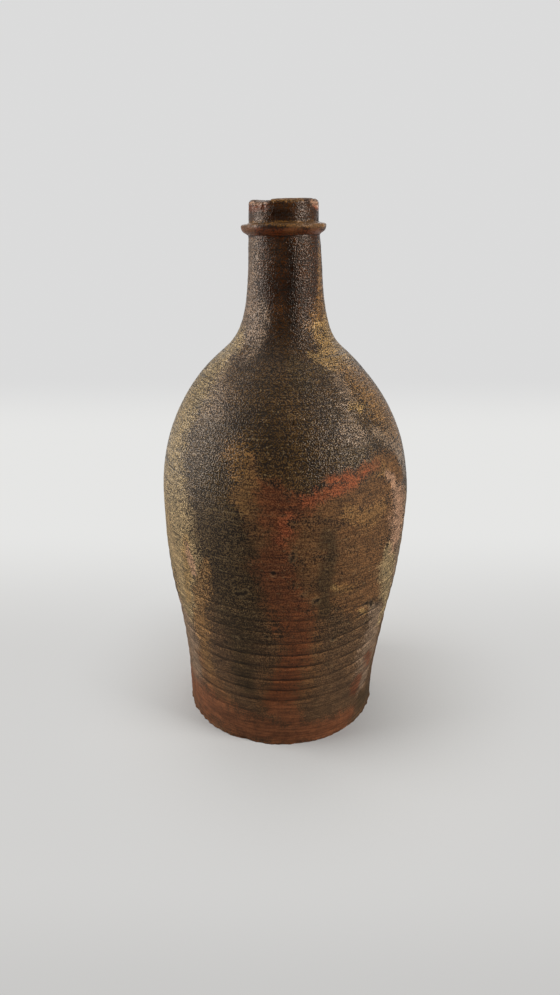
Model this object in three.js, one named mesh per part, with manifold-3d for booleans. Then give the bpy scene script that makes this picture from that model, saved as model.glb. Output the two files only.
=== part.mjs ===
// Stoneware bottle for drink, thrown on a wheel, in millimetres with +Z up.
// The origin is the middle of the flat underside, and the front of the pot faces -Y.
// The potter made it as three pieces of clay: the body, the neck luted on its shoulder,
// and the string ring round the neck, under which a cork was tied down.
import * as THREE from 'three';
import { mergeVertices } from 'three/addons/utils/BufferGeometryUtils.js';
import Module from 'manifold-3d';

const wasm = await Module();
wasm.setup();

// Body, outside
const FOOT_RADIUS = 54.7;
const FOOT_LEAN_DEG = 2.75;
const FOOT_HANDLE = 71.6;
const FOOT_BURR = 0.7;
const FOOT_BURR_HEIGHT = 1.6;
const BELLY_RADIUS = 67.4;
const BELLY_HEIGHT = 130;
const BELLY_HANDLE_BELOW = 57;
const BELLY_HANDLE_ABOVE = 30;

// Seam where the neck is luted on the shoulder
const SEAM_RADIUS = 31.4;
const SEAM_HEIGHT = 210;
const SEAM_SLOPE_DEG = 49;
const SEAM_HANDLE_BELOW = 35;
const SEAM_HANDLE_ABOVE = 9.5;

// Throwing rings left by the fingers on the lower wall
const FIRST_GROOVE_HEIGHT = 4.5;
const GROOVE_PITCH = 8.1;
const GROOVE_COUNT = 13;
const GROOVE_DEPTH = 0.75;
const SHALLOWEST_GROOVE_DEPTH = 0.1;
const POINTS_PER_GROOVE = 4;

// Body, inside
const BODY_WALL = 5.5;
const FLOOR_THICKNESS = 9;
const FLOOR_FILLET = 12;

// Neck and lip
const NECK_LENGTH = 55.5;
const NECK_HANDLE_TOP = 42;
const RING_SEAT_RADIUS = 17.7;
const BORE_RADIUS = 10.8;
const BORE_STRAIGHT_LENGTH = 41.8;
const BORE_HANDLE = 14;
const LIP_BAND_HEIGHT = 9.3;
const LIP_ROUND_OUTSIDE = 2.2;
const LIP_ROUND_INSIDE = 2.6;

// String ring
const RING_HEIGHT = 7;
const RING_EDGE = 0.5;
const RING_PROUD = 3.1;
const RING_CREST_SHARE = 0.62;
const RING_HANDLE_BELOW = 2;
const RING_HANDLE_ABOVE = 1;

// Worn chips in the rim: bearing from the front towards +X in degrees, width round the rim,
// depth at the middle of the wall, and outward slope in degrees
const CHIPS = [
  { bearing: -48, width: 17, depth: 1.9, slope: 12 },
  { bearing: 60, width: 11, depth: 0.7, slope: 34 },
];
const CHIP_CUTTER_SIZE = 24;

// Facets of the turned surfaces
const FACETS = 48;
const POINTS_PER_CURVE = 12;
const POINTS_PER_ROUND = 4;
const HALVINGS = 40;

const point = (radius, height) => new THREE.Vector2(radius, height);

function stepFrom(start, angleDeg, length) {
  const angle = THREE.MathUtils.degToRad(angleDeg);
  return point(start.x + length * Math.sin(angle), start.y + length * Math.cos(angle));
}

// The outside of the pot is three smooth curves, each given by its ends and handles.
const foot = point(FOOT_RADIUS, 0);
const belly = point(BELLY_RADIUS, BELLY_HEIGHT);
const seam = point(SEAM_RADIUS, SEAM_HEIGHT);
const ringSeat = point(RING_SEAT_RADIUS, SEAM_HEIGHT + NECK_LENGTH);
const ringTop = ringSeat.y + RING_HEIGHT;
const rimHeight = ringTop + LIP_BAND_HEIGHT;

const flankCurve = new THREE.CubicBezierCurve(
  foot,
  stepFrom(foot, FOOT_LEAN_DEG, FOOT_HANDLE),
  stepFrom(belly, 0, -BELLY_HANDLE_BELOW),
  belly,
);
const shoulderCurve = new THREE.CubicBezierCurve(
  belly,
  stepFrom(belly, 0, BELLY_HANDLE_ABOVE),
  stepFrom(seam, -SEAM_SLOPE_DEG, -SEAM_HANDLE_BELOW),
  seam,
);
const neckCurve = new THREE.CubicBezierCurve(
  seam,
  stepFrom(seam, -SEAM_SLOPE_DEG, SEAM_HANDLE_ABOVE),
  stepFrom(ringSeat, 0, -NECK_HANDLE_TOP),
  ringSeat,
);

// Finds how far along a rising curve one height lies, by halving.
function shareAtHeight(curve, height) {
  let low = 0;
  let high = 1;
  for (let step = 0; step < HALVINGS; step += 1) {
    const middle = (low + high) / 2;
    if (curve.getPoint(middle).y < height) {
      low = middle;
    } else {
      high = middle;
    }
  }
  return (low + high) / 2;
}

function outsideAt(height) {
  const curve = height < BELLY_HEIGHT ? flankCurve : shoulderCurve;
  const share = shareAtHeight(curve, height);
  const tangent = curve.getTangent(share);
  return { radius: curve.getPoint(share).x, wallShare: 1 / Math.abs(tangent.y) };
}

// The wall is measured square to the surface, so it is wider where the shoulder slopes.
function insideRadius(height) {
  const outside = outsideAt(height);
  return outside.radius - BODY_WALL * outside.wallShare;
}

const seamInside = point(insideRadius(SEAM_HEIGHT), SEAM_HEIGHT);

// A ring is a rounded roll between two narrow grooves, and the rolls fade up the pot.
function throwingRings() {
  const points = [];
  const steps = GROOVE_COUNT * POINTS_PER_GROOVE;
  for (let step = 0; step <= steps; step += 1) {
    const height = FIRST_GROOVE_HEIGHT + (step * GROOVE_PITCH) / POINTS_PER_GROOVE;
    const roll = Math.abs(Math.sin((Math.PI * step) / POINTS_PER_GROOVE));
    const depth = THREE.MathUtils.lerp(GROOVE_DEPTH, SHALLOWEST_GROOVE_DEPTH, step / steps);
    points.push(point(outsideAt(height).radius - depth * (1 - roll), height));
  }
  return points;
}

function upperBody(fromHeight) {
  const points = [];
  for (let step = 1; step < POINTS_PER_CURVE; step += 1) {
    const height = THREE.MathUtils.lerp(fromHeight, SEAM_HEIGHT, step / POINTS_PER_CURVE);
    points.push(point(outsideAt(height).radius, height));
  }
  return points;
}

function cavity() {
  const wallFoot = FLOOR_THICKNESS + FLOOR_FILLET;
  const points = [];
  for (let step = 1; step <= POINTS_PER_CURVE; step += 1) {
    const rise = Math.sin((Math.PI / 2) * (1 - step / POINTS_PER_CURVE));
    const height = THREE.MathUtils.lerp(wallFoot, SEAM_HEIGHT, rise);
    points.push(point(insideRadius(height), height));
  }
  const cornerRadius = insideRadius(wallFoot) - FLOOR_FILLET;
  for (let step = 1; step <= POINTS_PER_ROUND; step += 1) {
    const turn = (Math.PI / 2) * (step / POINTS_PER_ROUND);
    points.push(point(
      cornerRadius + FLOOR_FILLET * Math.cos(turn),
      wallFoot - FLOOR_FILLET * Math.sin(turn),
    ));
  }
  points.push(point(0, FLOOR_THICKNESS));
  return points;
}

function bodyProfile() {
  const lastGrooveHeight = FIRST_GROOVE_HEIGHT + GROOVE_COUNT * GROOVE_PITCH;
  return [
    point(0, 0),
    point(FOOT_RADIUS, 0),
    point(FOOT_RADIUS + FOOT_BURR, FOOT_BURR_HEIGHT / 2),
    point(FOOT_RADIUS, FOOT_BURR_HEIGHT),
    ...throwingRings(),
    ...upperBody(lastGrooveHeight),
    seam,
    seamInside,
    ...cavity(),
  ];
}

function roundedCorner(centre, radius, fromDeg, toDeg) {
  const points = [];
  for (let step = 0; step <= POINTS_PER_ROUND; step += 1) {
    const turn = THREE.MathUtils.degToRad(
      THREE.MathUtils.lerp(fromDeg, toDeg, step / POINTS_PER_ROUND),
    );
    points.push(point(centre.x + radius * Math.cos(turn), centre.y + radius * Math.sin(turn)));
  }
  return points;
}

// The neck's profile runs up the outside, over the rim and down the bore to the seam.
function neckProfile() {
  const boreStart = point(BORE_RADIUS, rimHeight - BORE_STRAIGHT_LENGTH);
  const boreCurve = new THREE.CubicBezierCurve(
    boreStart,
    stepFrom(boreStart, 0, -BORE_HANDLE),
    stepFrom(seamInside, -SEAM_SLOPE_DEG, SEAM_HANDLE_ABOVE),
    seamInside,
  );
  const outsideRound = point(RING_SEAT_RADIUS - LIP_ROUND_OUTSIDE, rimHeight - LIP_ROUND_OUTSIDE);
  const insideRound = point(BORE_RADIUS + LIP_ROUND_INSIDE, rimHeight - LIP_ROUND_INSIDE);
  return [
    ...neckCurve.getPoints(POINTS_PER_CURVE),
    point(RING_SEAT_RADIUS, ringTop),
    ...roundedCorner(outsideRound, LIP_ROUND_OUTSIDE, 0, 90),
    ...roundedCorner(insideRound, LIP_ROUND_INSIDE, 90, 180),
    ...boreCurve.getPoints(POINTS_PER_CURVE / 2),
    seam,
  ];
}

function ringProfile() {
  const crest = point(
    RING_SEAT_RADIUS + RING_PROUD,
    ringSeat.y + RING_HEIGHT * RING_CREST_SHARE,
  );
  const lowerEdge = point(RING_SEAT_RADIUS + RING_EDGE, ringSeat.y);
  const upperEdge = point(RING_SEAT_RADIUS + RING_EDGE, ringTop);
  const lowerHandle = point(crest.x, ringSeat.y + RING_HANDLE_BELOW);
  const upperHandle = point(crest.x, ringTop - RING_HANDLE_ABOVE);
  const lowerRoll = new THREE.QuadraticBezierCurve(lowerEdge, lowerHandle, crest);
  const upperRoll = new THREE.QuadraticBezierCurve(crest, upperHandle, upperEdge);
  return [
    ringSeat,
    ...lowerRoll.getPoints(POINTS_PER_ROUND),
    ...upperRoll.getPoints(POINTS_PER_ROUND).slice(1),
    point(RING_SEAT_RADIUS, ringTop),
    ringSeat,
  ];
}

function turn(profile) {
  return new THREE.LatheGeometry(profile, FACETS).rotateX(Math.PI / 2);
}

function toSolid(geometry) {
  const bare = geometry.clone();
  bare.deleteAttribute('normal');
  bare.deleteAttribute('uv');
  const merged = mergeVertices(bare);
  const mesh = new wasm.Mesh({
    numProp: 3,
    vertProperties: new Float32Array(merged.attributes.position.array),
    triVerts: new Uint32Array(merged.index.array),
  });
  return new wasm.Manifold(mesh);
}

function toGeometry(solid) {
  const mesh = solid.getMesh();
  const geometry = new THREE.BufferGeometry();
  geometry.setAttribute('position', new THREE.BufferAttribute(mesh.vertProperties, 3));
  geometry.setIndex(new THREE.BufferAttribute(mesh.triVerts, 1));
  geometry.computeVertexNormals();
  return geometry;
}

// A chip is a flat break across the lip that slopes down to the outside.
function chipCutter(chip) {
  const cutter = new THREE.BoxGeometry(chip.width, CHIP_CUTTER_SIZE, CHIP_CUTTER_SIZE);
  cutter.translate(0, 0, CHIP_CUTTER_SIZE / 2);
  cutter.rotateX(THREE.MathUtils.degToRad(chip.slope));
  cutter.translate(0, -(RING_SEAT_RADIUS - LIP_ROUND_OUTSIDE), rimHeight - chip.depth);
  cutter.rotateZ(THREE.MathUtils.degToRad(chip.bearing));
  return cutter;
}

function neckGeometry() {
  let solid = toSolid(turn(neckProfile()));
  for (const chip of CHIPS) {
    solid = solid.subtract(toSolid(chipCutter(chip)));
  }
  return toGeometry(solid);
}

function ashGlaze(colour, roughness) {
  return new THREE.MeshStandardMaterial({ color: colour, roughness, metalness: 0 });
}

const bottle = new THREE.Group();

function addPiece(name, geometry, material) {
  const piece = new THREE.Mesh(geometry, material);
  piece.name = name;
  bottle.add(piece);
}

addPiece('thrown_body', turn(bodyProfile()), ashGlaze(0x5b4636, 0.5));
addPiece('neck', neckGeometry(), ashGlaze(0x46362d, 0.42));
addPiece('string_ring', turn(ringProfile()), ashGlaze(0x6b4a33, 0.48));

export default bottle;
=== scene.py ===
import math

import bmesh
import bpy
import numpy as np
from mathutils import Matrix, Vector, noise
from mathutils.geometry import interpolate_bezier


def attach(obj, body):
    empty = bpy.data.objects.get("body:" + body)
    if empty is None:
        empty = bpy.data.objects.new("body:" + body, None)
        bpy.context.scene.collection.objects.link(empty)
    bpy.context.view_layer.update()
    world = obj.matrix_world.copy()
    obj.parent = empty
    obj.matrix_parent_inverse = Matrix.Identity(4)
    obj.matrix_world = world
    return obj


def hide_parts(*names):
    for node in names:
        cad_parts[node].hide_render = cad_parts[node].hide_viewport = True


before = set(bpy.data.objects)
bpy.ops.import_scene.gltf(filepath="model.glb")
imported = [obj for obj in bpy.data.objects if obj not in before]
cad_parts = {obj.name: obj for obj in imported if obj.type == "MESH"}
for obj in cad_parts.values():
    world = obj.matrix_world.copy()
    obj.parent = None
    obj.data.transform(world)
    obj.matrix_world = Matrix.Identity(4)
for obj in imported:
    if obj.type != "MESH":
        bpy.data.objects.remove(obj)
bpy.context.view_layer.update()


# Camera
# It stands close in front of the bottle, just below the rim's height, and looks down at
# the foot. The lens and tilt come from the foot's ellipse and the level throwing rings.
IMAGE_HEIGHT_PX = 995
FOCAL_LENGTH_PX = 700
CAMERA_DISTANCE = 0.3687
CAMERA_HEIGHT = 0.2714
CAMERA_OFFSET = -0.0007
CAMERA_TILT_DEG = 21.48

lens = bpy.data.cameras.new("camera")
lens.sensor_width = 36
lens.lens = lens.sensor_width * FOCAL_LENGTH_PX / IMAGE_HEIGHT_PX
camera = bpy.data.objects.new("camera", lens)
camera.location = (CAMERA_OFFSET, -CAMERA_DISTANCE, CAMERA_HEIGHT)
camera.rotation_euler = (math.radians(90 - CAMERA_TILT_DEG), 0, 0)
bpy.context.scene.collection.objects.link(camera)
bpy.context.scene.camera = camera


# Studio
# White paper under the bottle and soft boxes at its left, its right and above it, with the
# camera's side left dim, so that the pot is dark down its middle and bright at its flanks.
PAPER_HALF_WIDTH = 4.0
PAPER_COLOUR = (0.60, 0.592, 0.575, 1)
BACKDROP_NEAR_SHADED = (0.585, 0.58, 0.57, 1)
BACKDROP_FRONT = (0.645, 0.64, 0.63, 1)
BACKDROP_MIDDLE_LIT = (0.79, 0.79, 0.78, 1)
BACKDROP_FAR = (0.71, 0.71, 0.71, 1)
# Places on the paper, from the camera (-Y) to its back, between which its glow changes: painted shade
# towards the camera and a painted pool of light behind the pot
FRONT_BAND = (-0.20, -0.14)
MIDDLE_BAND = (0.02, 0.24)
FAR_BAND = (0.55, 0.95)
SHADE_CENTRE = (0.018, 0.0, 0.0)
GLOW_DISTANCES = (0.045, 0.17)
FIBRE_FINENESS = 700.0
# Ramps, as (from, to, result before, result after)
FIBRE_SHADE = (0.3, 0.7, 0.985, 1.0)
MIRRORED_BACKDROP = (-0.1, 0.5, 0, 0.7)
MIRRORED_FLOOR = (0, 1, 1.0, 0.35)
AMBIENT_LIGHT = (-0.2, 0.9, 0.03, 0.30)


def add_node(tree, kind, inputs=None, **settings):
    """Add a shader node, set its options, then link or set its inputs by name or number."""
    node = tree.nodes.new("ShaderNode" + kind)
    for setting, value in settings.items():
        setattr(node, setting, value)
    for socket, value in (inputs or {}).items():
        if isinstance(value, bpy.types.NodeSocket):
            tree.links.new(value, node.inputs[socket])
        else:
            node.inputs[socket].default_value = value
    return node


def mix_colours(tree, factor, first, second, blend="MIX"):
    """Mix two colours and give the colour that comes out."""
    node = add_node(tree, "Mix", {0: factor, 6: first, 7: second},
                    data_type="RGBA", blend_type=blend)
    return node.outputs[2]


def multiplied(tree, first, second):
    """Multiply two values and give the value that comes out."""
    return add_node(tree, "Math", {0: first, 1: second}, operation="MULTIPLY").outputs[0]


def greater(tree, first, second):
    """Compare two values and give the greater one."""
    return add_node(tree, "Math", {0: first, 1: second}, operation="MAXIMUM").outputs[0]


def empty_material(name):
    """Start a material that has no nodes yet."""
    material = bpy.data.materials.new(name)
    material.use_nodes = True
    material.node_tree.nodes.clear()
    return material


def ramp_between(tree, value, low, high, low_result=0.0, high_result=1.0):
    """Ease smoothly from one result to another as value goes from low to high."""
    node = add_node(tree, "MapRange", {0: value, 1: low, 2: high, 3: low_result, 4: high_result},
                    interpolation_type="SMOOTHSTEP")
    return node.outputs[0]


def paper_material():
    """White paper that takes the pot's shadow near it and glows further away, with painted shade towards
    the camera and a painted pool of light behind the pot.
    """
    material = empty_material("backdrop_paper")
    tree = material.node_tree
    place = add_node(tree, "TexCoord").outputs["Object"]
    distance = add_node(tree, "VectorMath", {0: place, 1: SHADE_CENTRE},
                        operation="DISTANCE").outputs["Value"]
    glow = ramp_between(tree, distance, *GLOW_DISTANCES)
    behind = add_node(tree, "SeparateXYZ", {0: place}).outputs[1]
    # The glow is painted shade near the camera and a painted pool of light behind the pot
    backdrop = BACKDROP_NEAR_SHADED
    for band, band_colour in ((FRONT_BAND, BACKDROP_FRONT), (MIDDLE_BAND, BACKDROP_MIDDLE_LIT),
                              (FAR_BAND, BACKDROP_FAR)):
        backdrop = mix_colours(tree, ramp_between(tree, behind, *band), backdrop, band_colour)
    ray = add_node(tree, "LightPath").outputs
    mirrored = multiplied(tree, ray["Is Glossy Ray"], ramp_between(tree, behind, *MIRRORED_BACKDROP))
    glow_seen = multiplied(tree, greater(tree, ray["Is Camera Ray"], mirrored), glow)
    fibres = add_node(tree, "TexNoise", {"Vector": place, "Scale": FIBRE_FINENESS, "Detail": 3.0})
    soft_fibres = ramp_between(tree, fibres.outputs[0], *FIBRE_SHADE)
    tint = mix_colours(tree, 1.0, PAPER_COLOUR, soft_fibres, "MULTIPLY")
    dimmed = ramp_between(tree, ray["Is Glossy Ray"], *MIRRORED_FLOOR)
    tint = mix_colours(tree, 1.0, tint, dimmed, "MULTIPLY")
    paper = add_node(tree, "BsdfDiffuse", {"Color": tint})
    light = add_node(tree, "Emission", {"Color": backdrop, "Strength": 1.0})
    mix = add_node(tree, "MixShader", {0: glow_seen, 1: paper.outputs[0], 2: light.outputs[0]})
    add_node(tree, "OutputMaterial", {"Surface": mix.outputs[0]})
    return material


def make_object(name, shape, material):
    """Turn a finished bmesh into an object of the scene."""
    mesh = bpy.data.meshes.new(name)
    shape.to_mesh(mesh)
    shape.free()
    mesh.materials.append(material)
    piece = bpy.data.objects.new(name, mesh)
    bpy.context.scene.collection.objects.link(piece)
    return piece


paper_shape = bmesh.new()
bmesh.ops.create_grid(paper_shape, x_segments=1, y_segments=1, size=PAPER_HALF_WIDTH)
make_object("backdrop_paper", paper_shape, paper_material())

surroundings = bpy.data.worlds.new("surroundings")
surroundings.use_nodes = True
air = surroundings.node_tree
air.nodes.clear()
air_side = add_node(air, "SeparateXYZ", {0: add_node(air, "TexCoord").outputs["Generated"]})
air_level = ramp_between(air, air_side.outputs[1], *AMBIENT_LIGHT)
air_ray = add_node(air, "LightPath").outputs
dim_air = add_node(air, "Background", {"Color": (1, 1, 1, 1), "Strength": air_level})
seen_air = add_node(air, "Background", {"Color": BACKDROP_FAR, "Strength": 1.0})
air_mix = add_node(air, "MixShader", {0: air_ray["Is Camera Ray"], 1: dim_air.outputs[0],
                                      2: seen_air.outputs[0]})
add_node(air, "OutputWorld", {"Surface": air_mix.outputs[0]})
bpy.context.scene.world = surroundings


def soft_box(name, place, aim, size, watts):
    """A rectangular lamp at place, turned to face aim."""
    lamp = bpy.data.lights.new(name, "AREA")
    lamp.shape = "RECTANGLE"
    lamp.size, lamp.size_y = size
    lamp.energy = watts
    lamp_object = bpy.data.objects.new(name, lamp)
    lamp_object.location = place
    lamp_object.rotation_euler = (Vector(aim) - Vector(place)).to_track_quat("-Z", "Y").to_euler()
    bpy.context.scene.collection.objects.link(lamp_object)


BOTTLE_MIDDLE = (0, 0, 0.15)
soft_box("right_box", (0.86, -0.38, 0.52), BOTTLE_MIDDLE, (0.42, 0.80), 10.0)
soft_box("left_box", (-0.95, -0.02, 0.46), BOTTLE_MIDDLE, (0.70, 0.95), 12.0)
soft_box("back_box", (0.10, 1.00, 0.55), BOTTLE_MIDDLE, (1.20, 0.60), 2.0)
soft_box("top_box", (0.0, 0.35, 1.20), BOTTLE_MIDDLE, (1.20, 1.20), 6.0)


# Thrown body
# One lump of coarse stoneware clay, thrown on the wheel and cut off it with a wire. It has a
# flat ragged foot, throwing rings on its lower wall, an egg-shaped belly and a drawn-in
# shoulder. Fly ash glazed it in the kiln, with red flashes where the flame licked it.
SEGMENTS = 320
FOOT = Vector((0.0547, 0))
FOOT_LEAN = math.radians(2.75)
FOOT_HANDLE = 0.0716
BELLY = Vector((0.0674, 0.130))
BELLY_HANDLE_BELOW = 0.057
BELLY_HANDLE_ABOVE = 0.030
SEAM = Vector((0.0314, 0.210))
SEAM_SLOPE = math.radians(49)
SEAM_HANDLE_BELOW = 0.035
SEAM_HANDLE_ABOVE = 0.0095
BODY_WALL = 0.0055
FLOOR_THICKNESS = 0.009
FLOOR_FILLET = 0.012
RINGED_HEIGHT = 0.092
RINGED_ROW = 0.0007
SMOOTH_ROW = 0.00115
INSIDE_ROW = 0.005
FLOOR_ROW = 0.008
UNDERSIDE_ROW = 0.003
FILLET_POINTS = 6
CREASE_ANGLE = math.radians(50)
FINE_CURVE_STEPS = 200


def step_from(start, angle, length):
    """The point at that length from start, along a line leaning outwards by angle."""
    return start + length * Vector((math.sin(angle), math.cos(angle)))


def curve(start, start_handle, end_handle, end):
    """A smooth line from start to end, bent towards its two handles."""
    return interpolate_bezier(start, start_handle, end_handle, end, FINE_CURVE_STEPS)


def even_rows(points, row):
    """Space points evenly along a line of (radius, height), about one row apart."""
    line = np.array([tuple(point)[:2] for point in points])
    steps = np.linalg.norm(np.diff(line, axis=0), axis=1)
    along = np.concatenate(([0], np.cumsum(steps)))
    places = np.linspace(0, along[-1], max(2, round(along[-1] / row) + 1))
    radii = np.interp(places, along, line[:, 0])
    heights = np.interp(places, along, line[:, 1])
    return [Vector(pair) for pair in zip(radii, heights)]


flank = curve(FOOT, step_from(FOOT, FOOT_LEAN, FOOT_HANDLE),
              step_from(BELLY, 0, -BELLY_HANDLE_BELOW), BELLY)
shoulder = curve(BELLY, step_from(BELLY, 0, BELLY_HANDLE_ABOVE),
                 step_from(SEAM, -SEAM_SLOPE, -SEAM_HANDLE_BELOW), SEAM)
body_outside = flank + shoulder[1:]
outside_heights = np.array([point[1] for point in body_outside])
outside_radii = np.array([point[0] for point in body_outside])
outside_slopes = np.gradient(outside_radii, outside_heights)


def inside_radius(height):
    """The wall is measured square to the surface, so it is wider where the shoulder slopes."""
    radius = np.interp(height, outside_heights, outside_radii)
    slope = np.interp(height, outside_heights, outside_slopes)
    return radius - BODY_WALL * math.hypot(1, slope)


seam_inside = Vector((inside_radius(SEAM[1]), SEAM[1]))


def body_profile():
    """Half the body's section, from the middle of its underside round to the cavity's floor."""
    ringed = [point for point in body_outside if point[1] < RINGED_HEIGHT]
    smooth = [point for point in body_outside if point[1] >= RINGED_HEIGHT]
    outside = even_rows(ringed, RINGED_ROW) + even_rows(smooth, SMOOTH_ROW)
    wall_foot = FLOOR_THICKNESS + FLOOR_FILLET
    corner = Vector((inside_radius(wall_foot) - FLOOR_FILLET, wall_foot))
    heights = np.arange(SEAM[1], wall_foot, -INSIDE_ROW)
    cavity = [Vector((inside_radius(height), height)) for height in heights]
    fillet = [corner + FLOOR_FILLET * Vector((math.cos(turn), -math.sin(turn)))
              for turn in np.linspace(0, math.pi / 2, FILLET_POINTS)]
    floor_middle = Vector((0, FLOOR_THICKNESS))
    underside = even_rows([Vector((0, 0)), FOOT], UNDERSIDE_ROW)
    return (underside[:-1] + outside + cavity + fillet
            + even_rows([fillet[-1], floor_middle], FLOOR_ROW)[1:])


def turn_on_wheel(profile, closed=False):
    """Spin a profile of (radius, height) a quarter round the pot's axis, and mirror it twice."""
    clay = bmesh.new()
    points = [clay.verts.new((0, -radius, height)) for radius, height in profile]
    lines = [clay.edges.new(pair) for pair in zip(points, points[1:])]
    if closed:
        lines.append(clay.edges.new((points[-1], points[0])))
    bmesh.ops.spin(clay, geom=points + lines, cent=(0, 0, 0), axis=(0, 0, 1),
                   angle=math.pi / 2, steps=SEGMENTS // 4)
    for axis in ("X", "Y"):
        whole = clay.verts[:] + clay.edges[:] + clay.faces[:]
        bmesh.ops.mirror(clay, geom=whole, merge_dist=1e-6, axis=axis)
    bmesh.ops.remove_doubles(clay, verts=clay.verts, dist=1e-6)
    bmesh.ops.recalc_face_normals(clay, faces=clay.faces)
    for face in clay.faces:
        face.smooth = True
    for edge in clay.edges:
        edge.smooth = edge.calc_face_angle(0) < CREASE_ANGLE
    return clay


def read_points(piece):
    points = np.empty(len(piece.data.vertices) * 3)
    piece.data.vertices.foreach_get("co", points)
    return points.reshape(-1, 3)


def write_points(piece, points):
    piece.data.vertices.foreach_set("co", points.ravel())
    piece.data.update()


def add_attribute(piece, name, values):
    """Keep one number for each point, for the glaze to read."""
    piece.data.attributes.new(name, "FLOAT", "POINT").data.foreach_set("value", values)


def noise_at(points, scale, shift=0.0):
    """Smooth chance bumps, about -1 to 1, at each point."""
    return np.array([noise.noise(place) for place in (points * scale + shift).tolist()])


def ease(values, low, high):
    """0 below low, 1 above high, and smooth between."""
    share = np.clip((values - low) / (high - low), 0, 1)
    return share * share * (3 - 2 * share)


def read_off(pairs, values):
    """Read values off a short list of (place, value) pairs."""
    return np.interp(values, [pair[0] for pair in pairs], [pair[1] for pair in pairs])


def bearings(points):
    """Degrees round the pot, from 0 at its front (-Y) and growing to its right (+X)."""
    return np.degrees(np.arctan2(points[:, 0], -points[:, 1]))


def outwards(points):
    """The level direction away from the pot's axis, at each point."""
    flat = points * (1, 1, 0)
    return flat / np.maximum(np.linalg.norm(flat, axis=1), 1e-9)[:, None]


# Heights of the throwing grooves down the front, and their depth at some heights (mm)
GROOVES = (-5, 3, 13, 21, 30, 37, 44, 53, 61, 69, 77, 84, 90, 96, 103, 110, 118, 126, 134)
GROOVE_DEPTHS = ((0, 0.08), (12, 0.16), (24, 0.5), (36, 0.8), (50, 0.85), (70, 0.75),
                 (85, 0.5), (100, 0.28), (120, 0.14), (150, 0.05), (200, 0.0))
# How far the wall stands out from one groove to the next one up, as a share of the depth
ROLL_SHAPE = ((0.0, 0.0), (0.07, 0.55), (0.16, 0.92), (0.28, 1.0), (0.5, 0.86), (0.75, 0.62),
              (0.9, 0.44), (0.95, 0.3), (1.0, 0.0))


def groove_turns(points):
    """How many turns of the spiral groove lie below each point."""
    waver = 0.10 * noise_at(points, 20, 5.0)
    turns = np.interp(points[:, 2] * 1000, GROOVES, range(len(GROOVES)))
    return turns - bearings(points) / 360 + waver


# Nicks, grit scars and dents: bearing, height, half width, half height, depth (mm)
PITS = (
    (3, 122, 1.5, 2.4, 0.7), (-5, 113, 1.3, 1.3, 0.6), (8, 100, 1.6, 1.2, 0.5),
    (-20, 99, 2.4, 1.6, 0.5), (-17, 101, 1.4, 1.3, 0.5), (67, 122, 1.6, 2.8, 0.8),
    (73, 138, 1.3, 2.4, 0.6), (25, 69, 1.6, 1.3, 0.6), (-52, 184, 1.5, 1.2, 0.5),
    (42, 85, 2.2, 1.6, 0.6), (46, 83, 1.5, 2.4, 0.6), (41, 79, 2.6, 1.0, 0.6),
    (45, 72, 1.2, 1.8, 0.5), (-24, 70, 1.8, 1.2, 0.4), (14, 96, 2.0, 1.4, 0.4),
    (-46, 101, 1.4, 1.2, 0.4), (-8, 74, 1.2, 1.0, 0.3), (52, 116, 1.2, 1.0, 0.4),
    (-104, 92, 2.2, 1.4, 0.6), (-131, 150, 1.4, 1.8, 0.6), (118, 88, 1.8, 2.4, 0.6),
    (150, 128, 2.0, 1.5, 0.6), (-168, 66, 2.6, 1.3, 0.6), (176, 160, 1.4, 1.4, 0.5),
)
DENTS = (
    (-88, 66, 42, 4.5, 0.7), (86, 63, 30, 4.0, 0.4), (-20, 0.6, 4.2, 1.3, 0.9),
    (20, 182, 30, 12, -0.3), (-140, 140, 22, 26, 0.7), (135, 96, 30, 20, 0.6),
)


def hollow(points, place):
    """How deep one dent is at each point, from 0 outside it to 1 in its middle."""
    bearing, height, half_width, half_height = place[:4]
    turn = (bearings(points) - bearing + 180) % 360 - 180
    across = np.radians(turn) * np.hypot(points[:, 0], points[:, 1]) * 1000
    up = points[:, 2] * 1000 - height
    return np.exp(-(across / half_width) ** 2 - (up / half_height) ** 2)


def wall_offset(points):
    """How far the wall stands out of its smooth outline, in metres, from bumps in millimetres."""
    height = points[:, 2] * 1000
    slow = 0.40 * noise_at(points, 17, 3.0)
    lumps = 0.16 * noise_at(points, 65)
    turning = 0.06 * noise_at(points * (1, 1, 9), 60)
    skin = 0.05 * noise_at(points, 420)
    patchy = 1 + 0.5 * noise_at(points, 28)
    roll = read_off(ROLL_SHAPE, groove_turns(points) % 1)
    rolls = read_off(GROOVE_DEPTHS, height) * patchy * (roll - 1)
    hollows = sum(dent[4] * hollow(points, dent) for dent in PITS + DENTS)
    return 0.001 * (slow + lumps + turning + skin + rolls - hollows)


# Sideways lean of the pot's axis at some heights, in millimetres
AXIS_LEAN = ((0, -0.2), (24, 0.1), (50, 1.1), (90, 1.6), (134, 2.1), (170, 1.9), (187, 1.5),
             (198, 1.1), (207, 1.3), (216, 1.6), (225, 2.0), (250, 1.9), (262, 1.5), (269, 1.1),
             (282, 1.0))
TOP_TILT = math.radians(1.3)


def lean(points):
    """Shift and tilt the points with the pot's axis, which isn't quite upright."""
    leant = points.copy()
    leant[:, 0] += 0.001 * read_off(AXIS_LEAN, points[:, 2] * 1000)
    leant[:, 2] += points[:, 0] * math.tan(TOP_TILT) * ease(points[:, 2], 0.215, 0.270)
    return leant
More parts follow.
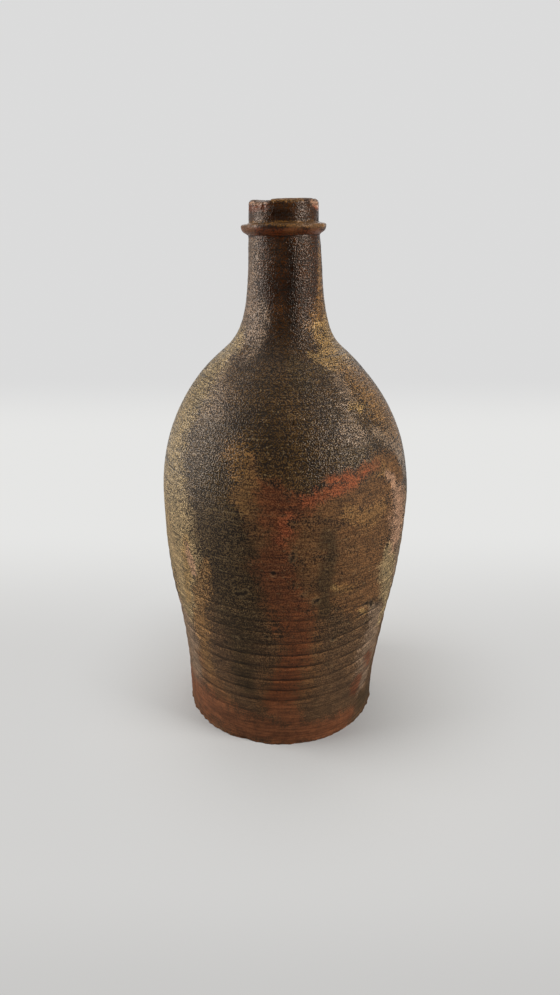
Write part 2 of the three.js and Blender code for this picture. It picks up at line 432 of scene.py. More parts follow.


# Where each colour of the firing lies, and where sheen and shade are painted over it, as strokes of
# (bearing, height, half width in mm).
# The back is not in the photograph, and goes on from the strokes that reach the sides.
FIRE_MARKS = {
    # Pale grey ash, and painted sheen and highlights at the left of the neck and its root, on both
    # shoulders and along both edges of the lower body
    "dust_and_sheen": (
        ((-66, 72, 7), (-64, 56, 11), (-62, 40, 11), (-62, 28, 7)),
        ((46, 84, 2), (54, 70, 7), (55, 54, 10), (56, 40, 9), (54, 26, 7)),
        ((-66, 262, 6), (-68, 246, 6), (-64, 232, 7), (-60, 222, 8)),
        ((-60, 214, 3), (-53, 203, 4), (-48, 192, 7), (-44, 185, 7)),
        ((-84, 70, 7), (-80, 52, 8), (-76, 34, 6)), ((-50, 230, 3.5), (-43, 222, 4.5)),
        ((-37, 234, 3), (-33, 223, 4), (-33, 213, 4)),
        ((34, 190, 3), (37, 185, 3.5)), ((30, 179, 4), (38, 175, 5)),
        ((72, 132, 5), (70, 116, 8), (68, 100, 8), (66, 86, 6)),
        ((50, 174, 3), (62, 169, 5), (68, 163, 8), (70, 156, 6)), ((41, 202, 4), (42, 194, 4)),
        ((-64, 66, 6), (-61, 52, 9), (-61, 38, 10), (-64, 24, 8)),
        ((100, 60, 16), (140, 44, 12)), ((-104, 50, 14), (-150, 44, 12)),
    ),
    "toasted": (
        ((30, 157, 4), (38, 160, 4), (48, 161, 4.5), (57, 158, 6), (62, 152, 6)),
        ((8, 145, 7), (22, 147, 8), (40, 150, 9), (50, 148, 7)),
        ((4, 130, 10), (24, 130, 17), (42, 132, 16), (50, 130, 9)),
        ((6, 112, 10), (28, 112, 17), (42, 110, 15), (48, 106, 9)),
        ((-14, 153, 7), (-11, 142, 8), (-9, 130, 9), (-7, 118, 11), (-4, 104, 12), (1, 94, 11)),
        ((6, 99, 8), (22, 101, 10), (38, 93, 12), (50, 92, 8)),
        ((-15, 170, 2), (-13, 163, 3), (-11, 157, 3)),
        ((-68, 126, 6), (-64, 112, 9), (-60, 96, 9), (-57, 82, 6)),
        ((-54, 44, 5), (-46, 34, 8), (-36, 26, 7)), ((9, 84, 10), (8, 64, 11), (4, 46, 14), (0, 32, 13)),
        ((100, 120, 26), (150, 110, 30)), ((-150, 80, 26), (-112, 70, 20)),
    ),
    "pale": (
        ((-74, 214, 8), (-70, 200, 11), (-68, 186, 14), (-68, 168, 15), (-62, 150, 14),
         (-59, 132, 15), (-57, 116, 18), (-56, 100, 17), (-56, 86, 12), (-56, 76, 8)),
        ((-73, 148, 8), (-72, 128, 13), (-70, 112, 13), (-68, 100, 7)),
        ((54, 113, 4), (55, 102, 7), (59, 90, 8), (63, 78, 6), (65, 66, 5)),
        ((-95, 176, 22), (-120, 150, 20)), ((120, 180, 24), (160, 170, 20)),
    ),
    "smoke": (
        ((-42, 177, 7), (-40, 164, 10), (-34, 152, 11), (-32, 142, 14), (-26, 130, 13),
         (-25, 118, 13), (-22, 104, 12), (-21, 92, 12), (-22, 80, 10), (-21, 64, 8)),
        ((-17, 128, 4), (-14, 112, 6), (-13, 98, 6)), ((-22, 52, 6), (-20, 38, 5)),
        ((53, 16, 3), (59, 12, 5), (68, 9, 5), (88, 8, 8)),
        ((19, 205, 1.4), (30, 203.5, 1.5), (40, 202.4, 1.2)), ((22, 169, 4), (36, 168, 3)),
        ((8, 206, 4), (14, 200, 4)),
        ((18, 134, 3), (18, 118, 4), (18, 102, 4), (18, 88, 3)),
        ((-130, 110, 22), (-126, 80, 18)), ((170, 60, 26), (140, 40, 16)),
    ),
    "ochre": (
        ((-25, 171, 4), (-20, 168, 7), (-17, 161, 7), (-17, 152, 5), (-17, 144, 3)),
        ((26, 142, 4), (36, 136, 5), (44, 138, 4)), ((42, 160, 2), (50, 157, 3)),
        ((27, 101, 2.0), (33, 100, 1.6)),
        ((40, 224, 5), (54, 227, 6), (64, 236, 3.5), (67, 250, 2.2), (72, 262, 1.6)),
        ((57, 208, 8), (62, 196, 11), (68, 184, 12), (76, 172, 9)),
        ((-37, 112, 3), (-39, 98, 5), (-43, 84, 5)),
        ((-45, 76, 5), (-46, 64, 6), (-48, 52, 6), (-46, 42, 5)),
        ((-18, 281.2, 0.9), (6, 281.2, 1.0), (32, 281.4, 1.0)),
        ((-84, 271.2, 0.8), (-8, 271.0, 1.1), (14, 270.4, 1.4), (40, 270.1, 1.6), (84, 270.1, 1.4)),
        ((150, 150, 9), (165, 140, 7)), ((-100, 130, 9), (-104, 112, 8)),
    ),
    "gold_and_sheen": (
        # The first stroke is painted sheen on the gold at the right of the neck's root
        ((40, 222, 2), (52, 223, 3), (64, 222, 3)),
        ((26, 210, 2.2), (34, 208.5, 3.6), (44, 210, 5), (58, 213, 8), (72, 216, 10),
         (88, 218, 12)),
        ((41, 189.5, 1.6), (48, 188.5, 1.8)),
        ((22, 103, 1.6), (24, 101, 1.3)), ((43, 79, 0.9), (39, 83, 1.0)),
        ((-47, 121, 3), (-49, 107, 4), (-52, 92, 3.5), (-54, 80, 2.5)),
        ((-130, 206, 8), (-160, 208, 6)),
    ),
    "rust": (
        ((-9, 157, 3), (-7, 151, 7), (-4, 147, 8), (4, 147, 6), (10, 149.5, 3.8)),
        ((-5, 143, 7), (-3, 136, 7), (-3, 128, 7), (-4, 118, 9), (-3, 106, 9), (1, 96, 9)),
        ((3, 92, 8), (6, 80, 9), (7, 68, 7), (4, 56, 8), (1, 44, 8), (-1, 32, 8)),
        ((22, 154.6, 3.2), (32, 157.6, 3.2), (40, 159.4, 2.4)),
        ((46, 24, 3), (50, 30, 3)), ((54, 44, 3), (58, 37, 4)),
        ((-84, 267.6, 2.4), (-20, 267.2, 2.2), (20, 266.8, 1.7), (84, 266.6, 1.5)),
        ((-80, 278, 1.5), (-30, 278, 1.5)), ((120, 140, 5), (150, 126, 7), (-172, 122, 8),
         (-160, 104, 6)),
    ),
    "clay_red": (
        ((-84, 12, 10), (-60, 13, 12), (-40, 13, 12), (-20, 9, 10), (0, 7, 8), (20, 5, 7),
         (38, 6, 8), (46, 6, 5)), ((-2, 24, 6), (6, 18, 6)),
        ((23, 154.2, 3.6), (31, 157.4, 3.8), (39, 160.0, 3.2), (46, 160.4, 1.8)),
        ((16, 157.6, 1.4), (25, 159.6, 2.4), (34, 161.6, 2.4), (42, 162, 1.6)),
        ((100, 12, 8), (150, 10, 10), (-150, 10, 10), (-100, 12, 8)),
    ),
    "flash": (
        ((7, 149.6, 2.4), (14, 151.2, 3.2), (22, 153.8, 2.8), (32, 158.0, 1.6), (40, 160.0, 0.8)),
        ((19, 158.0, 1.2), (29, 160.6, 1.4)),
        ((1, 142, 2.5), (-1, 136, 3.5), (-2, 130, 3.0)),
        ((56, 278.6, 0.8), (66, 278.0, 1.3), (78, 277.5, 1.4)),
        ((150, 132, 3.5), (-176, 126, 4), (-164, 110, 3.5)),
    ),
    "salmon": (
        ((50, 156, 1.5), (55, 151, 2.5), (59, 144, 6), (62, 135, 9), (63, 124, 9),
         (60, 114, 6)), ((-47, 118, 2), (-46, 111, 2.6), (-44, 104, 1.8)),
        ((-78, 280.2, 0.5), (-50, 279.8, 0.6), (-26, 279.8, 0.4)), ((50, 280, 1.1), (76, 279, 1.5)),
    ),
    "painted_shade": (
        # Painted shade: at the foot of the lip band in front, along the line under the ring, and in a
        # stripe down the neck just right of its middle
        ((-15, 275.4, 1.5), (-4, 275.0, 2.0), (9, 275.2, 1.5)), ((-84, 265.3, 0.4), (84, 265.3, 0.4)),
        ((9, 262, 1.4), (10, 250, 1.8), (8, 238, 2.2), (8, 230, 2.8), (9, 225, 2.0)),
    ),
}


# How far a stroke fades out, as a share of its half width
STROKE_FADE = 1.8
# The heights, in millimetres, between which the edges of the marks grow steadier
STEADY_MARKS = (225, 262)


def painted(bearing, height, radius, strokes):
    """How fully the strokes cover each place, from 0 to 1."""
    cover = np.zeros(len(bearing))
    for stroke in strokes:
        for (bearing_0, height_0, width_0), (bearing_1, height_1, width_1) in zip(stroke, stroke[1:]):
            across = np.radians((bearing - bearing_0 + 180) % 360 - 180) * radius
            step = np.radians((bearing_1 - bearing_0 + 180) % 360 - 180) * radius
            up = height - height_0
            rise = height_1 - height_0
            along = np.clip((across * step + up * rise) / (step ** 2 + rise ** 2 + 1e-9), 0, 1)
            gap = np.hypot(across - along * step, up - along * rise)
            width = width_0 + along * (width_1 - width_0)
            cover = np.maximum(cover, 1 - ease(gap / width, 0.0, STROKE_FADE))
    return cover


def fire(piece, points):
    """Give a piece the marks of the firing and the painted sheen and shade, with unsteady edges."""
    height = points[:, 2] * 1000
    loose = 1 - 0.88 * ease(height, *STEADY_MARKS)
    bearing = bearings(points) + 2.8 * noise_at(points, 75, 2.0) + 2.4 * noise_at(points, 240, 4.0)
    height = height + loose * (2.4 * noise_at(points, 75, 7.0) + 2.2 * noise_at(points, 240, 9.0))
    radius = np.hypot(points[:, 0], points[:, 1]) * 1000
    for mark, strokes in FIRE_MARKS.items():
        add_attribute(piece, mark, painted(bearing, height, radius, strokes))
    phase = 2 * math.pi * groove_turns(points)
    add_attribute(piece, "groove_cos", np.cos(phase))
    add_attribute(piece, "groove_sin", np.sin(phase))
    pits = sum(hollow(points, pit) for pit in PITS)
    add_attribute(piece, "pit", np.clip(pits, 0, 1))


# The ragged burr that the wire left round the foot, and the foot's slight swelling
BURR_HEIGHT = 0.0034
BURR_DEPTH = 0.0006
FOOT_SWELL_HEIGHTS = (0.002, 0.030)
FOOT_SWELL = 0.0006

body = make_object("bottle_body", turn_on_wheel(body_profile()), empty_material("body_glaze"))
body_points = read_points(body)
body_radii = np.hypot(body_points[:, 0], body_points[:, 1])
full_radii = np.interp(body_points[:, 2], outside_heights, outside_radii)
outer_share = ease(body_radii, full_radii - BODY_WALL, full_radii - 0.1 * BODY_WALL)
burr = 1 - ease(body_points[:, 2], 0.0, BURR_HEIGHT)
burr *= 0.4 + noise_at(body_points, 110) + 1.3 * noise_at(body_points, 330)
foot_swell = 1 - ease(body_points[:, 2], *FOOT_SWELL_HEIGHTS)
stand_out = wall_offset(body_points) + BURR_DEPTH * burr + FOOT_SWELL * foot_swell
fire(body, body_points)
write_points(body, lean(body_points + outwards(body_points) * (outer_share * stand_out)[:, None]))


def new_group(name, inputs, outputs):
    """Start a shared node group, and give it, its inputs and its output node."""
    group = bpy.data.node_groups.new(name, "ShaderNodeTree")
    for socket, kind in inputs.items():
        group.interface.new_socket(name=socket, in_out="INPUT", socket_type="NodeSocket" + kind)
    for socket in outputs:
        group.interface.new_socket(name=socket, in_out="OUTPUT", socket_type="NodeSocketFloat")
    return group, group.nodes.new("NodeGroupInput").outputs, group.nodes.new("NodeGroupOutput")


def make_clay_grain():
    """Pebbles, dark pores, pale ash specks, small clouds and slow mottling, from places."""
    group, given, result = new_group("clay_grain", {"Place": "Vector", "Fineness": "Float"},
                                     ("Relief", "Pebbles", "Pores", "Specks", "Clouds", "Mottle"))
    place = given["Place"]
    pebbles = add_node(group, "TexNoise", {"Vector": place, "Scale": given["Fineness"],
                                           "Detail": 0.0})
    moved = add_node(group, "VectorMath", {0: place, 1: (0.31, 0.17, 0.23)})
    coarser = multiplied(group, given["Fineness"], 0.55)
    specks = add_node(group, "TexNoise", {"Vector": moved.outputs[0], "Scale": coarser,
                                          "Detail": 0.0})
    clouds = add_node(group, "TexNoise", {"Vector": place, "Scale": 260.0, "Detail": 3.0,
                                          "Roughness": 0.6})
    mottle = add_node(group, "TexNoise", {"Vector": place, "Scale": 55.0, "Detail": 5.0,
                                          "Roughness": 0.62})
    outputs = {"Relief": pebbles.outputs[0],
               "Pebbles": ramp_between(group, pebbles.outputs[0], 0.38, 0.62),
               "Pores": ramp_between(group, specks.outputs[0], 0.30, 0.22),
               "Specks": ramp_between(group, specks.outputs[0], 0.70, 0.80),
               "Clouds": ramp_between(group, clouds.outputs[0], 0.32, 0.68),
               "Mottle": ramp_between(group, mottle.outputs[0], 0.32, 0.68)}
    for name, socket in outputs.items():
        group.links.new(socket, result.inputs[name])
    return group


def make_turning_marks():
    """Fine level streaks left by the wet hand, and longer scratches dragged by coarse grit."""
    group, given, result = new_group("turning_marks", {"Place": "Vector"},
                                     ("Streaks", "Scratches", "Scrapes"))
    drawn = add_node(group, "VectorMath", {0: given["Place"], 1: (80, 80, 1200)},
                     operation="MULTIPLY")
    streaks = add_node(group, "TexNoise", {"Vector": drawn.outputs[0], "Scale": 1.0,
                                           "Detail": 2.0, "Roughness": 0.5})
    dragged = add_node(group, "VectorMath", {0: given["Place"], 1: (20, 20, 1000)},
                       operation="MULTIPLY")
    scratches = add_node(group, "TexNoise", {"Vector": dragged.outputs[0], "Scale": 1.0,
                                             "Detail": 1.0})
    outputs = {"Streaks": ramp_between(group, streaks.outputs[0], 0.35, 0.65),
               "Scratches": ramp_between(group, scratches.outputs[0], 0.36, 0.29),
               "Scrapes": ramp_between(group, scratches.outputs[0], 0.68, 0.75)}
    for name, socket in outputs.items():
        group.links.new(socket, result.inputs[name])
    return group


def make_frayed_edge():
    """Break up the edge of a painted mark with the grain, the clouds and the mottling."""
    group, given, result = new_group("frayed_edge", {"Mark": "Float", "Grain": "Float",
                                                     "Clouds": "Float", "Mottle": "Float"},
                                     ("Cover",))
    edge = given["Mark"]
    for name, reach in (("Grain", 0.22), ("Clouds", 0.14), ("Mottle", 0.10)):
        moved = add_node(group, "MapRange", {0: given[name], 1: 0.0, 2: 1.0, 3: -reach, 4: reach})
        edge = add_node(group, "Math", {0: edge, 1: moved.outputs[0]}, operation="ADD").outputs[0]
    cover = ramp_between(group, edge, 0.12, 0.90)
    painted_only = ramp_between(group, given["Mark"], 0.0, 0.2)
    group.links.new(multiplied(group, cover, painted_only), result.inputs["Cover"])
    return group


def make_groove_lines():
    """The shade on the upper side of each throwing groove, and the light on its lower edge."""
    group, given, result = new_group("groove_lines", {"Cosine": "Float", "Sine": "Float"},
                                     ("Shade", "Light"))
    phase = add_node(group, "Math", {0: given["Sine"], 1: given["Cosine"]},
                     operation="ARCTAN2").outputs[0]
    shade = multiplied(group, ramp_between(group, phase, 2.8, 0.2),
                       ramp_between(group, phase, -0.25, 0.05))
    light = multiplied(group, ramp_between(group, phase, -2.4, -0.45),
                       ramp_between(group, phase, -0.05, -0.30))
    group.links.new(shade, result.inputs["Shade"])
    group.links.new(light, result.inputs["Light"])
    return group


clay_grain = make_clay_grain()
turning_marks = make_turning_marks()
frayed_edge = make_frayed_edge()
groove_lines = make_groove_lines()


def screen(red, green, blue):
    """A colour's light values, from its 0 to 255 screen values."""
    return (*[((value / 255 + 0.055) / 1.055) ** 2.4 for value in (red, green, blue)], 1)


SHOULDER_DARK = screen(40, 25, 11)
SHOULDER_LIGHT = screen(65, 44, 22)
NECK_DARK = screen(44, 22, 8)
NECK_LIGHT = screen(60, 35, 16)
LOWER_BROWN = screen(79, 55, 34)
FIRE_COLOURS = {
    # Pale grey ash, partly painted sheen
    "dust_and_sheen": (screen(120, 99, 80), 0.64), "toasted": (screen(101, 66, 35), 0.76),
    "pale": (screen(138, 117, 82), 0.84), "smoke": (screen(55, 40, 20), 0.80),
    # Some of the gold is painted sheen
    "ochre": (screen(116, 82, 44), 0.76), "gold_and_sheen": (screen(136, 106, 62), 0.76),
    "rust": (screen(92, 43, 17), 0.80), "clay_red": (screen(108, 60, 33), 0.84),
    "flash": (screen(136, 66, 35), 0.64), "salmon": (screen(160, 121, 94), 0.76),
    # Painted shade, in the darkest brown
    "painted_shade": (screen(20, 9, 3), 0.70),
}
# Where the flame kept the ash off, the clay is drier and smoother
DRY_MARKS = ("toasted", "rust", "clay_red", "flash", "salmon")
PORE_COLOUR = screen(22, 14, 6)
# Pale ash flecks, also laid on the pebbles' crests as painted glints
FLECK_AND_GLINT_COLOUR = screen(158, 132, 92)
WORN_COLOUR = screen(106, 72, 40)
PEBBLE_FINENESS = 1500.0
# Heights between which the glaze changes, in metres
LOWER_GLAZE = (0.110, 0.050)
NECK_GLAZE = (0.203, 0.238)
MATT_GLAZE = (0.162, 0.115)
# Ramps by height, as (from, to) or (from, to, result before, result after)
COARSE_ABOVE_FOOT = (0.010, 0.125, 0.22, 1.0)
COARSE_AT_LIP = (0.260, 0.268, 1.0, 0.6)
FLECKS_UP_NECK = (0.185, 0.240, 1.0, 0.0)
PORES_ABOVE_FOOT = (0.005, 0.060, 0.15, 0.85)
RINGS_UP_WALL = (0.125, 0.060)
RINGS_AT_FOOT = (0.008, 0.036, 0.12, 1.0)
DRY_AT_LIP = (0.250, 0.262, 1.0, 0.25)
# Ramps by the grain, a mark or the wear, in the same order
COARSE_IF_DRY = (0, 1, 1.0, 0.5)
CLOUD_SHADE = (0, 1, 0.84, 1.14)
PEBBLE_SHADE = (0, 1, 0.28, 1.70)
STREAK_SHADE = (0, 1, 0.74, 1.20)
CREST_FLECKS_AND_GLINTS = (0.5, 1, 0, 0.13)
ASH_SPECKS = (0, 1, 0, 0.35)
DARK_SCRATCHES = (0, 1, 0, 0.6)
PALE_SCRAPES = (0, 1, 0, 0.2)
PATCHY_RINGS = (0, 1, 0.30, 1.0)
GROOVE_SHADE = (0, 1, 1.0, 0.45)
GROOVE_LIGHT = (0, 1, 1.0, 1.5)
PIT_RIM = (0.03, 0.20, 0, 0.20)
PIT_CLOUDS = (0, 1, 1.6, 0.4)
PIT_CORE = (0.30, 0.75, 0, 0.9)
PATCHY_WEAR = (0.2, 0.7)
WORN_COVER = (0, 1, 0, 0.4)
WORN_MATT = (0, 1, 0, 0.35)
GLASSY_PEBBLES = (0, 1, 0.60, 0.13)
MATT_ROUGHNESS = 0.72
PEBBLE_RELIEF = 0.00036
STREAK_RELIEF = 0.00009
STREAK_STRENGTH = 0.7
GLAZE_SPECULAR = 0.33
GLAZE_TINT = (1.0, 0.84, 0.70, 1)


def reading(tree, name):
    """Read one of the numbers that the piece keeps for each point."""
    return add_node(tree, "Attribute", attribute_name=name).outputs["Fac"]


def kiln_glaze(material):
    """Thin ash glaze over brown clay, in the colours that the fire marks give, with painted sheen,
    glints and shade among them.
    """
    tree = material.node_tree
    place = add_node(tree, "TexCoord").outputs["Object"]
    height = add_node(tree, "SeparateXYZ", {0: place}).outputs[2]
    grain = add_node(tree, "Group", {"Place": place, "Fineness": PEBBLE_FINENESS},
                     node_tree=clay_grain).outputs
    streaks, scratches, scrapes = add_node(tree, "Group", {"Place": place},
                                           node_tree=turning_marks).outputs

    # The glaze itself, and the fire marks over it, some of which are painted sheen and shade
    shoulder = mix_colours(tree, grain["Mottle"], SHOULDER_DARK, SHOULDER_LIGHT)
    neck_glaze = mix_colours(tree, grain["Mottle"], NECK_DARK, NECK_LIGHT)
    colour = mix_colours(tree, ramp_between(tree, height, *LOWER_GLAZE), shoulder, LOWER_BROWN)
    colour = mix_colours(tree, ramp_between(tree, height, *NECK_GLAZE), colour, neck_glaze)
    flushed = 0.0
    for mark, (mark_colour, strength) in FIRE_COLOURS.items():
        cover = add_node(tree, "Group", {"Mark": reading(tree, mark), "Grain": grain["Pebbles"],
                                         "Clouds": grain["Clouds"], "Mottle": grain["Mottle"]},
                         node_tree=frayed_edge).outputs["Cover"]
        colour = mix_colours(tree, multiplied(tree, cover, strength), colour, mark_colour)
        if mark in DRY_MARKS:
            flushed = greater(tree, cover, flushed)

    # Clouds, pebbles, pale flecks and painted glints on the pebbles' crests, drag marks, pores and
    # streaks
    cloud_shade = ramp_between(tree, grain["Clouds"], *CLOUD_SHADE)
    colour = mix_colours(tree, 1.0, colour, cloud_shade, "MULTIPLY")
    coarse = multiplied(tree, ramp_between(tree, height, *COARSE_ABOVE_FOOT),
                        ramp_between(tree, flushed, *COARSE_IF_DRY))
    coarse = multiplied(tree, coarse, ramp_between(tree, height, *COARSE_AT_LIP))
    pebble_shade = ramp_between(tree, grain["Pebbles"], *PEBBLE_SHADE)
    colour = mix_colours(tree, coarse, colour, pebble_shade, "MULTIPLY")
    flecked = multiplied(tree, coarse, ramp_between(tree, height, *FLECKS_UP_NECK))
    # The pale colour on the pebbles' crests is partly ash flecks and partly painted glints
    for spots, spot_colour, spot_ramp in ((grain["Pebbles"], FLECK_AND_GLINT_COLOUR, CREST_FLECKS_AND_GLINTS),
                                          (grain["Specks"], FLECK_AND_GLINT_COLOUR, ASH_SPECKS),
                                          (scratches, PORE_COLOUR, DARK_SCRATCHES),
                                          (scrapes, FLECK_AND_GLINT_COLOUR, PALE_SCRAPES)):
        spotted = multiplied(tree, ramp_between(tree, spots, *spot_ramp), flecked)
        colour = mix_colours(tree, spotted, colour, spot_colour)
    pores = multiplied(tree, grain["Pores"], ramp_between(tree, height, *PORES_ABOVE_FOOT))
    colour = mix_colours(tree, pores, colour, PORE_COLOUR)
    streak_shade = ramp_between(tree, streaks, *STREAK_SHADE)
    colour = mix_colours(tree, 1.0, colour, streak_shade, "MULTIPLY")

    # Painted shade and light along the throwing grooves, dark pits with a pale rim, and worn edges
    groove = add_node(tree, "Group", {"Cosine": reading(tree, "groove_cos"),
                                      "Sine": reading(tree, "groove_sin")},
                      node_tree=groove_lines).outputs
    ringed = multiplied(tree, ramp_between(tree, height, *RINGS_UP_WALL),
                        ramp_between(tree, grain["Mottle"], *PATCHY_RINGS))
    ringed = multiplied(tree, ringed, ramp_between(tree, height, *RINGS_AT_FOOT))
    for side, side_ramp in (("Shade", GROOVE_SHADE), ("Light", GROOVE_LIGHT)):
        line = ramp_between(tree, multiplied(tree, groove[side], ringed), *side_ramp)
        colour = mix_colours(tree, 1.0, colour, line, "MULTIPLY")
    pit = reading(tree, "pit")
    pit_rim = multiplied(tree, ramp_between(tree, pit, *PIT_RIM), grain["Clouds"])
    colour = mix_colours(tree, pit_rim, colour, FLECK_AND_GLINT_COLOUR)
    pit_core = multiplied(tree, pit, ramp_between(tree, grain["Clouds"], *PIT_CLOUDS))
    colour = mix_colours(tree, ramp_between(tree, pit_core, *PIT_CORE), colour, PORE_COLOUR)
    rubbed = multiplied(tree, reading(tree, "worn"),
                        ramp_between(tree, grain["Mottle"], *PATCHY_WEAR))
    colour = mix_colours(tree, ramp_between(tree, rubbed, *WORN_COVER), colour, WORN_COLOUR)

    # Gloss and relief
    matt = greater(tree, ramp_between(tree, rubbed, *WORN_MATT),
                   ramp_between(tree, height, *MATT_GLAZE))
    dry = multiplied(tree, flushed, ramp_between(tree, height, *DRY_AT_LIP))
    glassy = ramp_between(tree, grain["Pebbles"], *GLASSY_PEBBLES)
    gloss = add_node(tree, "Mix", {0: greater(tree, matt, dry), 2: glassy, 3: MATT_ROUGHNESS},
                     data_type="FLOAT").outputs[0]
    pebbled = add_node(tree, "Bump", {"Height": multiplied(tree, grain["Relief"], coarse),
                                      "Strength": 1.0, "Distance": PEBBLE_RELIEF})
    turned = add_node(tree, "Bump", {"Height": streaks, "Distance": STREAK_RELIEF,
                                     "Strength": STREAK_STRENGTH,
                                     "Normal": pebbled.outputs[0]})
    skin = add_node(tree, "BsdfPrincipled", {"Base Color": colour, "Roughness": gloss,
                                             "Specular IOR Level": GLAZE_SPECULAR,
                                             "Specular Tint": GLAZE_TINT,
                                             "Normal": turned.outputs[0]})
    add_node(tree, "OutputMaterial", {"Surface": skin.outputs[0]})


kiln_glaze(body.data.materials[0])
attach(body, "root")
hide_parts("thrown_body")


# Neck
# Thrown apart and luted on the shoulder, with a plain lip band over the string ring. Its bore
# takes a cork. The rim is chipped at the left and worn at the right.
NECK_LENGTH = 0.0555
NECK_HANDLE_TOP = 0.042
RING_SEAT_RADIUS = 0.0177
RING_HEIGHT = 0.007
RING_TOP_SLOPE = 0.0014
LIP_BAND_HEIGHT = 0.0093
LIP_RADIUS = 0.0172
LIP_ROUND_OUTSIDE = 0.0022
LIP_ROUND_INSIDE = 0.0026
BORE_RADIUS = 0.0108
BORE_STRAIGHT_LENGTH = 0.0418
BORE_HANDLE = 0.014
NECK_ROW = 0.0004
STRAIGHT_BORE_ROW = 0.003
CURVED_BORE_ROW = 0.004
ARC_POINTS = 9

ring_seat = Vector((RING_SEAT_RADIUS, SEAM[1] + NECK_LENGTH))
ring_top = ring_seat[1] + RING_HEIGHT
rim_height = ring_top + LIP_BAND_HEIGHT


def arc(centre, radius, start_deg, end_deg):
    """Points along part of a circle of the section."""
    return [centre + radius * Vector((math.cos(turn), math.sin(turn)))
            for turn in np.radians(np.linspace(start_deg, end_deg, ARC_POINTS))]


def neck_profile():
    """Half the neck's section: up the outside, over the rim and down the bore."""
    outside = curve(SEAM, step_from(SEAM, -SEAM_SLOPE, SEAM_HANDLE_ABOVE),
                    step_from(ring_seat, 0, -NECK_HANDLE_TOP), ring_seat)
    band = [Vector((LIP_RADIUS, ring_top - RING_TOP_SLOPE)),
            Vector((LIP_RADIUS, rim_height - LIP_ROUND_OUTSIDE))]
    rim = (arc(Vector((LIP_RADIUS - LIP_ROUND_OUTSIDE, rim_height - LIP_ROUND_OUTSIDE)),
               LIP_ROUND_OUTSIDE, 0, 90)
           + arc(Vector((BORE_RADIUS + LIP_ROUND_INSIDE, rim_height - LIP_ROUND_INSIDE)),
                 LIP_ROUND_INSIDE, 90, 180))
    bore_start = Vector((BORE_RADIUS, rim_height - BORE_STRAIGHT_LENGTH))
    bore = curve(bore_start, step_from(bore_start, 0, -BORE_HANDLE),
                 step_from(seam_inside, -SEAM_SLOPE, SEAM_HANDLE_ABOVE), seam_inside)
    return (even_rows(outside, NECK_ROW) + even_rows(band + rim, NECK_ROW)
            + even_rows([rim[-1], bore_start], STRAIGHT_BORE_ROW)[1:-1]
            + even_rows(bore, CURVED_BORE_ROW))


# How far the chipped rim lies under the whole one, by bearing, in millimetres
RIM_DROP = ((-180, 0.0), (-92, 0.0), (-80, 0.2), (-62, 0.35), (-52, 0.9), (-40, 1.5),
            (-28, 1.6), (-23.5, 1.3), (-21.0, 0.2), (-12, 0.0), (24, 0.0), (36, -0.3),
            (48, -0.4), (58, -0.1), (66, 0.7), (78, 1.4), (90, 1.2), (100, 0.1), (180, 0.0))
# Extra girth of the neck below the ring, in millimetres
NECK_SWELL = ((212, 0.0), (236, 0.4), (250, 0.6), (260, 0.35), (264, 0.0))
# The rim's two broken places, as bearing, height, half width, half height, depth (mm)
LIP_FLAKE = (-50, 279.4, 10.5, 2.6, 0.55)
LIP_WEAR = (62, 279.5, 7.0, 3.4, 0.45)
# The bore and the seam's face stay smooth, and the outside begins between these radii
OUTSIDE_NECK_RADII = (0.0140, 0.0160)
OUTSIDE_SEAM_RADII = (0.029, 0.031)
SEAM_FACE_HEIGHTS = (211, 210.5)
OVER_SEAM_HEIGHTS = (211, 212)
SMOOTHER_TOP = (236, 266)
RIM_WEAR = (280.2, 281.6)

neck = make_object("bottle_neck", turn_on_wheel(neck_profile(), closed=True),
                   empty_material("neck_glaze"))
neck_points = read_points(neck)
neck_radii = np.hypot(neck_points[:, 0], neck_points[:, 1])
neck_bearings = bearings(neck_points)
neck_heights = neck_points[:, 2] * 1000
on_outside = np.maximum(ease(neck_radii, *OUTSIDE_NECK_RADII),
                        ease(neck_heights, *SEAM_FACE_HEIGHTS))
on_outside *= np.maximum(ease(neck_radii, *OUTSIDE_SEAM_RADII),
                         ease(neck_heights, *OVER_SEAM_HEIGHTS))
near_top = ease(neck_heights, *SMOOTHER_TOP)
pebbles = 0.08 * noise_at(neck_points, 900) * ease(neck_heights, 212, 225)
neck_offset = wall_offset(neck_points) * (1 - 0.7 * near_top)
neck_offset += 0.001 * (pebbles + read_off(NECK_SWELL, neck_heights))
for chip, roughness, fineness in ((LIP_FLAKE, 1.2, 600), (LIP_WEAR, 0.6, 400)):
    broken_face = hollow(neck_points, chip) * (1 + roughness * noise_at(neck_points, fineness))
    neck_offset -= 0.001 * chip[4] * broken_face
fire(neck, neck_points)
add_attribute(neck, "worn", ease(neck_heights, *RIM_WEAR))
neck_points += outwards(neck_points) * (on_outside * neck_offset)[:, None]
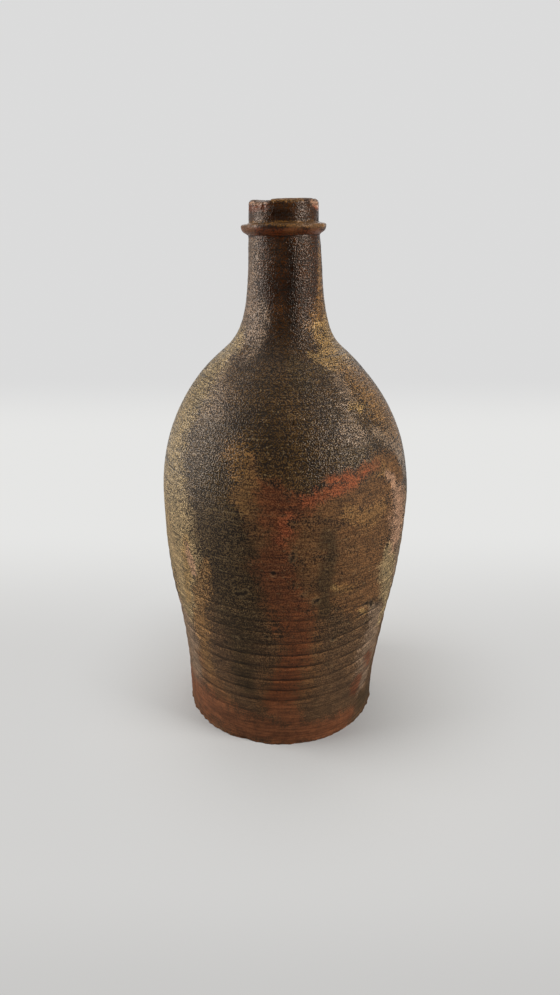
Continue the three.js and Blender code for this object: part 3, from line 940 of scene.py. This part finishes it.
broken = read_off(RIM_DROP, neck_bearings) + 0.16 * noise_at(neck_points, 420)
broken += 0.10 * noise_at(neck_points * (1, 1, 0.2), 900)
neck_points[:, 2] = np.minimum(neck_points[:, 2], rim_height - 0.001 * broken)
write_points(neck, lean(neck_points))

kiln_glaze(neck.data.materials[0])
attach(neck, "root")
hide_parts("neck")


# String ring
# A roll of clay wrapped round the neck under the lip and pressed to a ridge, to hold the
# string of a cork. Its crest is rubbed to gold and red-brown.
RING_SUNK = 0.0008
RING_ROW = 0.0003
RING_SKIN = 0.0018
# The ring's section: how far it stands out of its seat and up from it, in millimetres
RING_SECTION = ((0.0, 0.0), (0.6, 0.5), (1.4, 1.1), (2.3, 1.75), (2.85, 2.5), (3.1, 3.3),
                (3.2, 4.0), (3.15, 4.6), (2.85, 5.0), (2.2, 5.2), (1.2, 5.3), (0.3, 5.5),
                (-0.4, 5.9))


def ring_profile():
    """The ring's section, a long slope under its crest and a short flat one over it."""
    section = [ring_seat + Vector(pair) * 0.001 for pair in RING_SECTION]
    sunk = Vector((RING_SUNK, 0))
    return even_rows([section[0] - sunk] + section + [section[-1] - sunk], RING_ROW)


ring = make_object("neck_ring", turn_on_wheel(ring_profile(), closed=True),
                   empty_material("ring_glaze"))
ring_points = read_points(ring)
ring_out = ease(np.hypot(ring_points[:, 0], ring_points[:, 1]), RING_SEAT_RADIUS,
                RING_SEAT_RADIUS + RING_SKIN)
fire(ring, ring_points)
add_attribute(ring, "worn", ring_out)
pressed = 0.22 * noise_at(ring_points, 90) + 0.12 * noise_at(ring_points, 300)
ring_points += outwards(ring_points) * (0.001 * pressed * ring_out)[:, None]
uneven = 0.35 * noise_at(ring_points, 70, 3.0) + 0.10 * noise_at(ring_points, 330)
ring_points[:, 2] += 0.001 * uneven * ring_out
write_points(ring, lean(ring_points))

kiln_glaze(ring.data.materials[0])
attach(ring, "root")
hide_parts("string_ring")


# Colour view
# The render shows its colours through the Standard view transform.
bpy.context.scene.view_settings.view_transform = "Standard"
